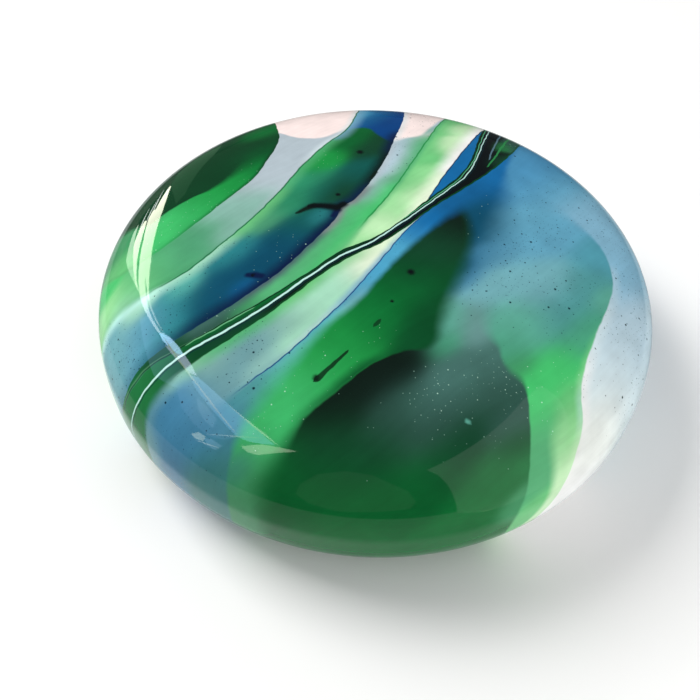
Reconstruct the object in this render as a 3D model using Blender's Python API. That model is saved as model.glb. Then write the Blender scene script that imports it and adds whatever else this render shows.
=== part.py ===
"""An uncut entremet: a mousse cake set in a pebble-shaped mould and coated with mirror glaze.

It is one solid. The top is a shallow dome that rolls over a broad shoulder to the belly, the
widest part, and the side then turns back in under the belly. The glaze that ran down the side
has set at the foot as a low round edge, thicker where a drip stopped. The underside is flat, and
the origin is its centre, on the surface that the cake stands on.
"""

import math
import random

import bmesh
import bpy

# Driving dimensions, in metres
RADIUS = 0.090
HEIGHT = 0.055
BELLY_HEIGHT = 0.018

# The dome is half of a squarish ellipse: 2 would be a true ellipse, and more has a fuller shoulder
SHOULDER_FULLNESS = 2.9

# Under the belly the side turns in on a round of this radius, through this angle
TUCK_RADIUS = 0.0175
TUCK_ANGLE = math.radians(62)

# The edge of set glaze stands out this far at the foot, and more where a drip stopped
EDGE_REACH = 0.0008
DRIP_GROWTH = 2.0
DRIP_HALF_ANGLE = math.radians(4.5)
DRIP_COUNT = 15
DRIP_JITTER = 0.35
DRIP_SEED = 7

# Facets
SEGMENTS = 96
DOME_STEPS = 22
TUCK_STEPS = 7
EDGE_STEPS = 4
FINE_STEPS = 2000
MERGE_DISTANCE = 1e-6
SHARP_ANGLE = math.radians(50)

GLAZE_COLOUR = (0.05, 0.36, 0.16, 1.0)
GLAZE_ROUGHNESS = 0.05


def clear_scene():
    """Remove whatever the file was opened with."""
    for obj in list(bpy.data.objects):
        bpy.data.objects.remove(obj)


def evenly_spaced(points, count):
    """The same line, cut into count steps of equal length."""
    lengths = [0.0]
    for before, after in zip(points, points[1:]):
        lengths.append(lengths[-1] + math.dist(before, after))
    picked = []
    at = 0
    for step in range(count + 1):
        wanted = lengths[-1] * step / count
        while at < len(points) - 2 and lengths[at + 1] < wanted:
            at += 1
        share = (wanted - lengths[at]) / (lengths[at + 1] - lengths[at])
        picked.append(tuple(b + (a - b) * share for b, a in zip(points[at], points[at + 1])))
    return picked


def dome_line():
    """(radius, height) pairs from the middle of the top, over the shoulder, to the belly."""
    power = 2 / SHOULDER_FULLNESS
    points = []
    for step in range(FINE_STEPS + 1):
        angle = 0.5 * math.pi * step / FINE_STEPS
        rise = (HEIGHT - BELLY_HEIGHT) * math.cos(angle) ** power
        points.append((RADIUS * math.sin(angle) ** power, BELLY_HEIGHT + rise))
    return evenly_spaced(points, DOME_STEPS)


def tuck_line():
    """(radius, height) pairs from the belly round to the top of the glaze's edge."""
    points = []
    for step in range(TUCK_STEPS + 1):
        angle = TUCK_ANGLE * step / TUCK_STEPS
        radius = RADIUS - TUCK_RADIUS * (1 - math.cos(angle))
        points.append((radius, BELLY_HEIGHT - TUCK_RADIUS * math.sin(angle)))
    return points


def edge_line(top):
    """(radius, height) pairs down the half-round edge of glaze, from the tuck to the table."""
    radius, top_height = top
    middle = 0.5 * top_height
    points = []
    for step in range(EDGE_STEPS + 1):
        angle = math.pi * step / EDGE_STEPS
        points.append((radius + EDGE_REACH * math.sin(angle), middle + middle * math.cos(angle)))
    return points


def drips():
    """(angle, strength) of each place where a drip stopped at the foot."""
    chance = random.Random(DRIP_SEED)
    spacing = 2 * math.pi / DRIP_COUNT
    return [
        (spacing * (index + chance.uniform(-DRIP_JITTER, DRIP_JITTER)), chance.random())
        for index in range(DRIP_COUNT)
    ]


def edge_growth(angle, spots):
    """How much further than EDGE_REACH the glaze stands out at this angle, as a share of it."""
    growth = 0.0
    for spot, strength in spots:
        apart = math.remainder(angle - spot, 2 * math.pi) / DRIP_HALF_ANGLE
        growth += DRIP_GROWTH * strength * math.exp(-apart * apart)
    return growth


def glaze_material():
    """The overall green of the glaze, wet and glossy."""
    material = bpy.data.materials.new("mirror_glaze")
    material.use_nodes = True
    shader = material.node_tree.nodes["Principled BSDF"]
    shader.inputs["Base Color"].default_value = GLAZE_COLOUR
    shader.inputs["Roughness"].default_value = GLAZE_ROUGHNESS
    shader.inputs["Metallic"].default_value = 0.0
    return material


def entremet_cake():
    """The profile spun round the upright axis and closed underneath, with the edge's drips."""
    dome = dome_line()
    tuck = tuck_line()
    edge_start, edge_top = tuck[-1]
    profile = dome + tuck[1:] + edge_line(tuck[-1])[1:]

    shape = bmesh.new()
    line = [shape.verts.new((radius, 0.0, height)) for radius, height in profile]
    edges = [shape.edges.new(pair) for pair in zip(line, line[1:])]
    bmesh.ops.spin(
        shape,
        geom=line + edges,
        cent=(0.0, 0.0, 0.0),
        axis=(0.0, 0.0, 1.0),
        angle=2 * math.pi,
        steps=SEGMENTS,
        use_merge=True,
    )
    bmesh.ops.remove_doubles(shape, verts=shape.verts[:], dist=MERGE_DISTANCE)
    rim = [edge for edge in shape.edges if edge.is_boundary]
    bmesh.ops.contextual_create(shape, geom=rim)

    spots = drips()
    for vertex in shape.verts:
        x, y, height = vertex.co
        reach = math.hypot(x, y)
        if height < edge_top and reach > edge_start:
            growth = edge_growth(math.atan2(y, x), spots)
            scale = 1 + growth * (reach - edge_start) / reach
            vertex.co.x *= scale
            vertex.co.y *= scale

    bmesh.ops.recalc_face_normals(shape, faces=shape.faces[:])
    mesh = bpy.data.meshes.new("entremet_cake")
    shape.to_mesh(mesh)
    shape.free()
    mesh.shade_smooth()
    mesh.set_sharp_from_angle(angle=SHARP_ANGLE)
    mesh.materials.append(glaze_material())
    cake = bpy.data.objects.new("entremet_cake", mesh)
    bpy.context.scene.collection.objects.link(cake)
    return cake


clear_scene()
entremet_cake()
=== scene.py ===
# %% [markdown]
# # A marbled entremet
# The cake is one smooth pebble of mousse, and all that shows of it is the mirror glaze that was
# poured over it. So this script has two jobs: a very smooth shell of the right form, and a glaze
# whose bands of colour lie where they were poured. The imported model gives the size, and the
# shell replaces its plain solid.

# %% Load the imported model
import math
import random

import bmesh
import bpy
import numpy as np
from mathutils import Matrix, Vector
from mathutils.bvhtree import BVHTree

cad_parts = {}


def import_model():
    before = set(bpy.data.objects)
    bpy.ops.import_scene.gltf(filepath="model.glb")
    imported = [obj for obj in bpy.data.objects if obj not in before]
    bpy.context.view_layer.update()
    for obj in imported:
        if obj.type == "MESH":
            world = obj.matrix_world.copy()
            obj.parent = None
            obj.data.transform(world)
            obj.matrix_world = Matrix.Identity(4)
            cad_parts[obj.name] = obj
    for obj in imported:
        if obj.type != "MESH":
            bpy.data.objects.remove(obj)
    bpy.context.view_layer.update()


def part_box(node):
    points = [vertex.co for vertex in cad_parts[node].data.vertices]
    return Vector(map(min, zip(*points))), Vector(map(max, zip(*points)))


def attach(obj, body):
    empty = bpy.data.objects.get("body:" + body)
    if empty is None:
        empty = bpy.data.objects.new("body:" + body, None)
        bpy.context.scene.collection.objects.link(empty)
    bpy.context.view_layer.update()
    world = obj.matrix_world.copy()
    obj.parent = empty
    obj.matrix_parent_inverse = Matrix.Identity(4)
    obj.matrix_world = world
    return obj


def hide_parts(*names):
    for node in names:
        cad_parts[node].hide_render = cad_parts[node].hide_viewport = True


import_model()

NODE = "entremet_cake"
MM = 0.001
TINY = 1e-9
low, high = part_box(NODE)
RADIUS = 0.5 * (high[0] - low[0])
HEIGHT = high[2] - low[2]
print("the cake is", round(2 * RADIUS / MM), "mm across and", round(HEIGHT / MM), "mm high")

# %% [markdown]
# ## The camera
# A phone held close over the cake took this view, so the near edge looks larger than the far one.
# A camera can be aimed with a constraint, but its three axes are worked out here instead, because
# the same axes turn a place in the picture into a line of sight later on.

# %% Aim the camera
PICTURE = 700
FOCAL_PIXELS = 755
SENSOR_MM = 36
NEAR_CLIP = 0.01
CAMERA_ELEVATION = math.radians(50.0)
CAMERA_ROLL = math.radians(1.15)
CAMERA_DISTANCE = 0.2683
AIM = Vector((-0.0078, -0.0054, 0.0))

backward = Vector((0, -math.cos(CAMERA_ELEVATION), math.sin(CAMERA_ELEVATION)))
level = Vector((1, 0, 0))
upward = backward.cross(level)
camera_right = level * math.cos(CAMERA_ROLL) + upward * math.sin(CAMERA_ROLL)
camera_up = upward * math.cos(CAMERA_ROLL) - level * math.sin(CAMERA_ROLL)
camera_place = AIM + backward * CAMERA_DISTANCE

camera_data = bpy.data.cameras.new("camera")
camera_data.sensor_width = SENSOR_MM
camera_data.lens = FOCAL_PIXELS / PICTURE * SENSOR_MM
camera_data.clip_start = NEAR_CLIP
camera = bpy.data.objects.new("camera", camera_data)
turn = Matrix((camera_right, camera_up, backward)).transposed()
camera.matrix_world = Matrix.Translation(camera_place) @ turn.to_4x4()
bpy.context.scene.collection.objects.link(camera)
bpy.context.scene.camera = camera
bpy.context.scene.view_settings.view_transform = "Standard"


def line_of_sight(across, down):
    """The direction that a pixel of the picture looks in."""
    half = 0.5 * PICTURE
    sideways = camera_right * (across - half) + camera_up * (half - down)
    return (sideways / FOCAL_PIXELS - backward).normalized()


print("the camera stands at", [round(value, 3) for value in camera_place])

# %% [markdown]
# ## The form
# The mould gave the cake a shallow dome, a full shoulder and a side that turns in under the
# belly. A turned shape is drawn as half a profile and spun round the upright axis. The glaze is a
# mirror, so the rings are about a millimetre apart, and no facet shows in what it reflects.

# %% Draw the profile
BELLY_HEIGHT = 0.018
SHOULDER_FULLNESS = 2.9
TUCK_RADIUS = 0.0175
TUCK_ANGLE = math.radians(62)
EDGE_REACH = 0.0008
RINGS = {"dome": 112, "tuck": 20, "edge": 8, "base": 6}
DRAWN_STEPS = 4000
SPOKES = 512


def lengths_along(line):
    """How far along a line each of its points lies."""
    return np.concatenate([[0.0], np.cumsum(np.hypot(*np.diff(line[:, :2], axis=0).T))])


def read_at(line, wanted):
    """The columns of a line at the wanted lengths along it."""
    lengths = lengths_along(line)
    return np.column_stack([np.interp(wanted, lengths, column) for column in line.T])


def dome_line():
    """Radius and height from the middle of the top, over the shoulder, to the belly."""
    angle = np.linspace(0, 0.5 * math.pi, DRAWN_STEPS)
    power = 2 / SHOULDER_FULLNESS
    radius = RADIUS * np.sin(angle) ** power
    rise = (HEIGHT - BELLY_HEIGHT) * np.abs(np.cos(angle)) ** power
    line = np.column_stack([radius, BELLY_HEIGHT + rise])
    return read_at(line, np.linspace(0.0, lengths_along(line)[-1], RINGS["dome"] + 1))


def tuck_line():
    """Radius and height from the belly, round and in, to the top of the glaze's edge."""
    angle = np.linspace(0, TUCK_ANGLE, RINGS["tuck"] + 1)
    radius = RADIUS - TUCK_RADIUS * (1 - np.cos(angle))
    return np.column_stack([radius, BELLY_HEIGHT - TUCK_RADIUS * np.sin(angle)])


def edge_line(start):
    """Radius and height down the half-round edge of set glaze, to the table."""
    angle = np.linspace(0, math.pi, RINGS["edge"] + 1)
    radius = start[0] + EDGE_REACH * np.sin(angle)
    return np.column_stack([radius, 0.5 * start[1] * (1 + np.cos(angle))])


tuck = tuck_line()
edge_start, edge_top = tuck[-1]
glazed_line = np.concatenate([dome_line(), tuck[1:], edge_line(tuck[-1])[1:]])
inward = np.linspace(edge_start, 0, RINGS["base"] + 1)
whole_line = np.concatenate([glazed_line, np.column_stack([inward, 0 * inward])[1:]])
line_length = lengths_along(whole_line) / MM
SKIN_REACH = line_length[len(glazed_line) - 1]
print("the glaze runs", round(SKIN_REACH), "mm from the middle to the foot")

# %% [markdown]
# Where a drip stopped at the foot, the edge of glaze stands out further. The drips are drawn
# from the same seeded list as in the solid, so they stand in the same places.

# %% Spin the profile and let the drips stand out
DRIP_GROWTH = 2.0
DRIP_HALF_ANGLE = math.radians(4.5)
DRIP_COUNT = 15
DRIP_JITTER = 0.35
DRIP_SEED = 7
DOUBLINGS = 4
MERGE_WITHIN = 1e-6


def drips():
    """The angle and strength of each place where a drip stopped."""
    chance = random.Random(DRIP_SEED)
    spacing = 2 * math.pi / DRIP_COUNT
    return [(spacing * (index + chance.uniform(-DRIP_JITTER, DRIP_JITTER)), chance.random())
            for index in range(DRIP_COUNT)]


def edge_growth(angle, spots):
    """How much further than EDGE_REACH the glaze stands out at this angle."""
    growth = 0.0
    for spot, strength in spots:
        apart = math.remainder(angle - spot, 2 * math.pi) / DRIP_HALF_ANGLE
        growth += DRIP_GROWTH * strength * math.exp(-apart * apart)
    return growth


shell = bmesh.new()
line = [shell.verts.new((radius, 0, height)) for radius, height in whole_line]
bones = [shell.edges.new(pair) for pair in zip(line, line[1:])]
share = 2 * math.pi / 2 ** DOUBLINGS
bmesh.ops.spin(shell, geom=line + bones, cent=(0, 0, 0), axis=(0, 0, 1), angle=share,
               steps=SPOKES // 2 ** DOUBLINGS)
for doubling in range(DOUBLINGS):
    copy = bmesh.ops.duplicate(shell, geom=shell.verts[:] + shell.edges[:] + shell.faces[:])
    copied = [part for part in copy["geom"] if isinstance(part, bmesh.types.BMVert)]
    bmesh.ops.rotate(shell, verts=copied, matrix=Matrix.Rotation(share * 2 ** doubling, 3, "Z"))
bmesh.ops.remove_doubles(shell, verts=shell.verts[:], dist=MERGE_WITHIN)
bmesh.ops.recalc_face_normals(shell, faces=shell.faces[:])
spots = drips()
for vertex in shell.verts:
    x, y, z = vertex.co
    reach = math.hypot(x, y)
    if z < edge_top and reach > edge_start:
        swell = 1 + edge_growth(math.atan2(y, x), spots) * (reach - edge_start) / reach
        vertex.co.x *= swell
        vertex.co.y *= swell
form = BVHTree.FromBMesh(shell)
print("the shell has", len(shell.faces), "faces")

# %% [markdown]
# ## The pour map
# The glaze flowed outwards from the middle of the top, so its bands are laid out on a flat map of
# the cake's skin: the distance from the middle is the distance along the profile, in
# millimetres, and the direction is the direction round the cake. A band that is straight on the
# map runs over the shoulder and down the side without a break.

# %% Lay the skin out flat
OUTLINE_MIDDLE = (375.0, 335.0)
PULL_TRIES = 60
PULL_SHARE = 0.005


def turn_of(radius, height):
    """How far round the profile a point lies: 0 is the top's middle and pi is the base's."""
    return np.arctan2(radius, height - BELLY_HEIGHT)


line_turn = turn_of(whole_line[:, 0], whole_line[:, 1])


def pour_map(points):
    """Places on the cake, in metres, as places on the flat map, in millimetres."""
    points = np.atleast_2d(np.asarray(points, dtype=float))
    radius = np.hypot(points[:, 0], points[:, 1])
    length = np.interp(turn_of(radius, points[:, 2]), line_turn, line_length)
    spread = length / np.maximum(radius, TINY)
    return points[:, :2] * spread[:, None]


def seen_place(across, down):
    """The place on the cake that a pixel shows. One just off the cake is drawn in to it."""
    for _ in range(PULL_TRIES):
        hit = form.ray_cast(camera_place, line_of_sight(across, down))[0]
        if hit is not None:
            return hit
        across += PULL_SHARE * (OUTLINE_MIDDLE[0] - across)
        down += PULL_SHARE * (OUTLINE_MIDDLE[1] - down)
    raise ValueError("this pixel is far off the cake")


def on_the_skin(across, down):
    """The map place that a pixel of the picture shows."""
    return pour_map(seen_place(across, down))[0]


print("the picture's middle shows", [round(value) for value in on_the_skin(*OUTLINE_MIDDLE)],
      "mm from the top's middle")

# %% [markdown]
# ## The borders between colours
# Each border was followed in the picture, from its far end to its near end, with only the points that its
# bends need. A third number, where there is one, is how far the two colours run into each other there, in
# millimetres, and on a fine line it is half the line's width. Where a border leaves the picture it spills
# on over the rim and turns down the side, as the glaze did.

# %% Follow the borders
CRISP = 0.16
BORDERS = {
    "blob_shade": [
        (268, 146, 8), (245, 166, 4), (228, 179, 2), (210, 190, 0.9), (190, 199, 0.5), (164, 214.5, 0.6),
        (150, 225, 1), (135, 229, 2), (119, 238, 3),
    ],
    "blob": [
        (277, 128), (279, 137), (276, 147), (268, 159), (255, 177), (230, 197), (199, 221),
        (170, 243, 0.3), (147, 259, 0.8), (124, 274, 1), (108, 284, 1.2),
    ],
    "line_a": [
        (358, 112), (351, 124), (341, 134), (326, 144), (301, 167), (276, 195), (249, 221), (214, 250),
        (184, 273, 0.3), (152, 291, 1.4), (127, 308, 2), (112, 323, 2), (104, 340, 2),
    ],
    "broad_band": [
        (404, 113), (402.6, 122), (394.8, 138), (386, 158), (370, 182), (355, 199), (341, 208),
        (336, 218), (312, 242), (281, 270.5), (238, 301), (207, 320.5), (180, 337), (163, 348),
        (147, 361), (137, 372), (129, 386), (124, 401), (123, 416),
    ],
    "line_b": [
        (444, 120), (427, 141), (414, 160), (403, 176), (387, 197), (371, 215, 0.5), (360, 227, 1.5),
        (340, 250, 3),
    ],
    "wedge": [(481, 132), (468, 145), (454, 162.5), (440, 181), (428, 199), (420, 212)],
    "ribbon_start": [
        (484, 130), (479, 138), (474, 153), (470, 162), (464, 171), (448, 185), (424, 202), (395, 225),
        (370, 239), (340, 251), (315, 267.5), (285, 287), (253, 306), (224, 322), (196, 338),
        (172, 352, 0.4), (150, 366, 0.7), (139, 377, 0.9), (130, 390, 0.8), (125, 403, 0.8),
        (124, 418, 0.8),
    ],
    "ribbon_end": [
        (520, 145), (513, 153), (494, 169), (465, 188), (440, 203), (424, 214), (405, 228), (379, 244),
        (356, 254), (331, 268), (296, 293), (266, 315.5), (228, 340), (193, 363, 0.5), (170, 382, 1.6),
        (154, 401, 2), (147, 418, 1.6), (146, 437, 1.2),
    ],
    "line_c": [
        (419, 218), (404, 232), (388, 251), (370, 272), (346, 298), (319, 324), (280, 359),
        (250, 381, 0.8), (227, 400, 2), (205, 420, 4), (190, 440, 5), (184, 462, 5),
    ],
    "light_blue": [
        (492, 184, 5), (476, 198, 4), (458, 211, 3), (444, 219, 2.2), (431, 229, 1.6), (406, 250, 1.4),
        (385, 271, 1.2), (358, 301, 1.4), (326, 326, 2), (298, 357, 3), (270, 388, 4), (248, 418, 3.5),
        (236, 442, 1.8), (229, 465, 0.9), (227, 488, 0.8), (229, 510, 0.8),
    ],
    "green_field": [
        (484, 152, 3), (464, 188, 3), (460, 206, 3), (468, 217, 2.4), (472, 236, 2.4), (467, 259, 3),
        (459, 282, 3.6), (449, 303, 3.2), (442, 322, 2.8), (438, 338, 2), (428, 348, 1.2),
        (408, 350, 0.6), (389, 356, 0.4), (366, 367, 0.4), (346, 383, 0.5), (321, 403, 0.7),
        (303, 418, 1), (287, 441, 2.5), (276, 462, 4), (266, 485, 5), (262, 515, 5),
    ],
    "deep_field": [
        (540, 150, 6), (514, 180, 5), (506, 206, 6), (504, 232, 9), (500, 258, 9), (490, 285, 6),
        (486, 310, 4), (489, 333, 2.5), (499, 347, 1.2), (504, 362, 0.9), (512, 372, 1.8),
        (522, 380, 1.4), (527, 393, 0.5), (530, 420, 0.4), (530, 462, 0.4), (527, 489, 0.5),
        (521, 507, 0.8), (508, 529, 1),
    ],
    "strip": [
        (587, 352, 2), (577, 378, 3), (563, 402, 3), (555, 425, 3), (553, 446, 2.6), (554, 471, 2.4),
        (549, 496, 2), (538, 511, 1.5), (524, 525, 1),
    ],
    "far_rim": [
        (258, 126, 0.8), (280, 133, 0.6), (300, 138, 0.6), (322, 137.5, 0.8), (342, 131, 1),
        (356, 128, 1), (368, 128, 0.8), (380, 136, 0.8), (392, 141, 1.5), (405, 138, 1), (419, 136, 0.8),
        (431, 127, 0.8), (445, 116, 0.8),
    ],
    "bright_side": [
        (518, 143, 3), (509, 160, 2), (506, 175, 2.5), (512, 190, 6), (528, 202, 9), (547, 210, 8),
        (563, 217, 5), (578, 227, 3), (592, 238, 1.4), (603, 252, 0.8), (610, 268, 0.5),
        (612.5, 287, 0.4), (608, 305, 0.4), (600, 324, 0.4), (590, 350, 0.4), (583, 374, 0.4),
        (581, 395, 0.4), (582, 428, 0.4), (577, 449, 0.4), (566, 480, 0.4), (551, 503, 0.5),
        (536, 519, 0.5),
    ],
}
FINE_LINES = {
    "white_line": [
        (489, 132, 0.16), (482, 146, 0.16), (476, 160, 0.16), (466, 176, 0.16), (446, 191, 0.17),
        (424, 207, 0.18), (398, 225, 0.21), (369, 243, 0.25), (340, 256, 0.28), (302, 281, 0.3),
        (263, 308, 0.3), (225, 331, 0.33), (184, 354, 0.32), (160, 373, 0.3), (141, 397, 0.26),
        (133, 415, 0.24), (132, 428, 0.22), (134.5, 440, 0.22),
    ],
    "long_streak": [(353, 345, 0.3), (339, 359, 0.5), (326, 371, 0.6), (317, 379, 0.9), (309, 385, 0.9)],
    "short_streak": [(385, 315, 0.4), (378, 322, 0.6), (370, 331, 0.6)],
    "twin_line": [
        (484.5, 133, 0.13), (478, 149, 0.13), (474, 160, 0.13), (463, 175, 0.13), (453, 184, 0.14),
        (440, 193, 0.14), (424, 204.5, 0.12), (398, 222, 0.1),
    ],
    "smoke_line": [(501, 136, 0.34), (496, 143, 0.3), (491, 154, 0.26), (488, 163, 0.2)],
    "edge_line": [
        (262, 303, 0.12), (240, 315, 0.16), (215, 329, 0.17), (193, 341, 0.16), (178, 350, 0.12),
    ],
    "moss_line": [(509, 139, 0.36), (502, 147, 0.34), (494, 158.5, 0.3), (485, 170, 0.2)],
}
STEPS_A_SPAN = 6
SPILL_STEP = 3.0
SPILL_END = 1.4
SPILL_TURN = 0.5
SPILL_LATE = 4
RUN_STEP = 1.0


def smooth_run(points):
    """A smooth line through a few points: a Catmull-Rom curve whose knots are spaced by the root
    of the gaps, so that it makes no loops."""
    ends = [2 * points[0] - points[1], 2 * points[-1] - points[-2]]
    row = np.vstack([ends[0], points, ends[1]])
    share = np.linspace(0, 1, STEPS_A_SPAN, endpoint=False)[:, None]
    run = []
    for before, start, end, after in zip(row, row[1:], row[2:], row[3:]):
        gaps = [np.linalg.norm(b[:2] - a[:2]) ** 0.5
                for a, b in ((before, start), (start, end), (end, after))]
        leave = ((start - before) / gaps[0] - (end - before) / (gaps[0] + gaps[1])
                 + (end - start) / gaps[1]) * gaps[1]
        arrive = ((end - start) / gaps[1] - (after - start) / (gaps[1] + gaps[2])
                  + (after - end) / gaps[2]) * gaps[1]
        square, cube = share ** 2, share ** 3
        run.append(start * (2 * cube - 3 * square + 1) + leave * (cube - 2 * square + share)
                   + end * (3 * square - 2 * cube) + arrive * (cube - square))
    return np.vstack(run + [points[-1:]])


def spilled(run):
    """The line with its end run on over the rim, turning to flow straight down the side."""
    place = run[-1, :2]
    way = run[-1, :2] - run[-3, :2]
    way = way / np.linalg.norm(way)
    tail = [run]
    while np.linalg.norm(place) < SPILL_END * SKIN_REACH:
        out = np.linalg.norm(place)
        way = way + SPILL_TURN * min(1.0, (out / SKIN_REACH) ** SPILL_LATE) * place / out
        way = way / np.linalg.norm(way)
        place = place + SPILL_STEP * way
        tail.append(np.append(place, run[-1, 2:])[None])
    return np.vstack(tail)


def followed(points):
    """The given points as one smooth line on the map, in even steps: x, y, third number."""
    rows = np.array([np.append(on_the_skin(*point[:2]), (point + (CRISP,))[2]) for point in points])
    run = spilled(spilled(smooth_run(rows))[::-1])[::-1]
    return read_at(run, np.arange(0.0, lengths_along(run)[-1], RUN_STEP))


runs = {name: followed(points) for name, points in {**BORDERS, **FINE_LINES}.items()}
print(len(runs), "borders and lines followed")

# %% [markdown]
# ## Signed distances
# A border could be cut into the mesh, but then every change of colour needs its own edges. It is
# lighter to give each point of the mesh its distance from the border, less than nothing on one
# side and more on the other. The material finds the place where that distance is nothing, which
# stays sharp between points a millimetre apart.

# %% Measure every point of the mesh from every border
BATCHES = 16
mesh = bpy.data.meshes.new("glaze")
shell.to_mesh(mesh)
shell.free()
corners = np.zeros(3 * len(mesh.vertices))
mesh.vertices.foreach_get("co", corners)
skin = pour_map(corners.reshape(-1, 3))


def nearest_on(run, places):
    """The index of the run's point nearest to each place."""
    line = run[:, :2].astype(np.float32)
    spots = places.astype(np.float32)
    reach = (line ** 2).sum(axis=1)
    return np.concatenate([
        (reach - 2 * part @ line.T).argmin(axis=1) for part in np.array_split(spots, BATCHES)
    ])


def measured_from(run, places):
    """Signed distance from the run in mm, more than nothing on its near side, with the run's
    third number and the length along the run at the nearest point."""
    at = np.clip(nearest_on(run, places), 1, len(run) - 2)
    step = run[at + 1, :2] - run[at - 1, :2]
    step /= np.linalg.norm(step, axis=1)[:, None]
    offset = places - run[at, :2]
    ahead = (offset * step).sum(axis=1)
    share = np.clip(0.5 * ahead / RUN_STEP + 0.5, 0, 1)
    foot = run[at - 1] + share[:, None] * (run[at + 1] - run[at - 1])
    bow = run[at, :2] - 0.5 * (run[at - 1, :2] + run[at + 1, :2])
    foot[:, :2] += bow * (1 - np.abs(2 * share - 1))[:, None]
    apart = np.hypot(*(places - foot[:, :2]).T)
    side = np.sign(step[:, 0] * offset[:, 1] - step[:, 1] * offset[:, 0])
    return apart * np.where(side == 0, 1, side), foot[:, 2], (at + 2 * share - 1) * RUN_STEP


measures = {name: measured_from(run, skin) for name, run in runs.items()}
print("signed distances measured from", len(measures), "runs")

# %% [markdown]
# Some fine lines end on the cake instead of spilling over it. Giving them less and less width
# near their last point makes them thin out there.

# %% Thin the lines that end
TAPER = 2.5
THIN_AT_LAST = ("twin_line", "smoke_line", "moss_line")
THIN_AT_BOTH = ("edge_line", "long_streak", "short_streak")
for name in THIN_AT_LAST + THIN_AT_BOTH:
    apart, width, along = measures[name]
    ends = np.array([on_the_skin(*FINE_LINES[name][at][:2]) for at in (0, -1)])
    first, last = measured_from(runs[name], ends)[2]
    left = np.clip((last - along) / TAPER, 0.0, 1.0)
    if name in THIN_AT_BOTH:
        left = np.minimum(left, np.clip((along - first) / TAPER, 0.0, 1.0))
    measures[name] = apart, width * left - (1 - left), along
print("thinned at the ends:", ", ".join(THIN_AT_LAST + THIN_AT_BOTH))

# %% [markdown]
# ## The pools of colour
# Between two borders the colours flow into each other without a line. Each such pool is a few
# dabs: a pigment, the pixel of the picture where it lies, and how far it reaches in millimetres.
# A point takes its colour from the dabs near it, and a dab spreads further along the flow than
# across it, because the pour dragged it out. The second list says how many specks a pigment
# carries: more than nothing for dark ones, and less than nothing for pale bubbles.

# %% Name the pigments
PIGMENTS = {
    "ink": "#0a1114", "black_green": "#0e1d17", "forest": "#12402a", "fir": "#0d3c22",
    "viridian": "#2c8a64", "bottle": "#0a4926", "pine": "#0b5f2d", "emerald": "#0c6a31",
    "leaf": "#1c9042", "spring": "#3fb76a", "clover": "#46c26e", "meadow": "#3f8f5e", "fern": "#54ad75",
    "apple": "#6cc37c", "pistachio": "#98dc9a", "honeydew": "#c8ecbe", "mint": "#a2d8bc",
    "cream": "#e6f4da", "blush": "#fbe9e6", "milk": "#f6f5f4", "frost": "#d0e0e4", "mist": "#b0c8d4",
    "powder": "#80b0c8", "dove": "#b0bec7", "sage": "#82b0a3", "taupe": "#7c8588", "lead": "#4b6168",
    "surf": "#6ac6bb", "dew": "#96c8be", "fjord": "#4e95a6", "slate": "#6d9ca2", "haze": "#70a9b2",
    "steel": "#5f9fba", "sky": "#4da2c6", "azure": "#2a7aae", "lake": "#4a8fb8", "marine": "#1568a3",
    "ivy": "#22743f", "pearl": "#e4e8e2", "foam": "#bdeee4", "denim": "#3f7b9b", "cobalt": "#135c90",
    "royal": "#08407e", "navy": "#0c1c40", "petrol": "#0d4963", "teal": "#115650", "lagoon": "#2c8288",
    "tide": "#4b8f90", "spruce": "#3d7c78", "sea": "#5cb4a8", "jade": "#479a78", "celadon": "#5aa390",
    "reed": "#4b9770", "ash": "#648f8c", "thyme": "#47716a", "moss": "#31564c",
}
SPECKLED = {"frost": 0.4, "mist": 0.7, "powder": 0.8, "steel": 1, "sky": 0.5, "haze": 1,
            "tide": 1, "slate": 0.9, "jade": 0.5, "spring": -0.6, "clover": -0.5, "leaf": -0.3,
            "petrol": -0.3, "lagoon": 0.8, "denim": 0.6, "sea": 0.8, "thyme": -1, "moss": -0.8}


def linear(hex_colour, alpha=1.0):
    """An sRGB hex colour as the linear RGBA that Blender's sockets take."""
    parts = [int(hex_colour[at:at + 2], 16) / 255 for at in (1, 3, 5)]
    return *(p / 12.92 if p <= 0.04045 else ((p + 0.055) / 1.055) ** 2.4 for p in parts), alpha


print(len(PIGMENTS), "pigments named,", len(SPECKLED), "of them with specks")

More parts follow.
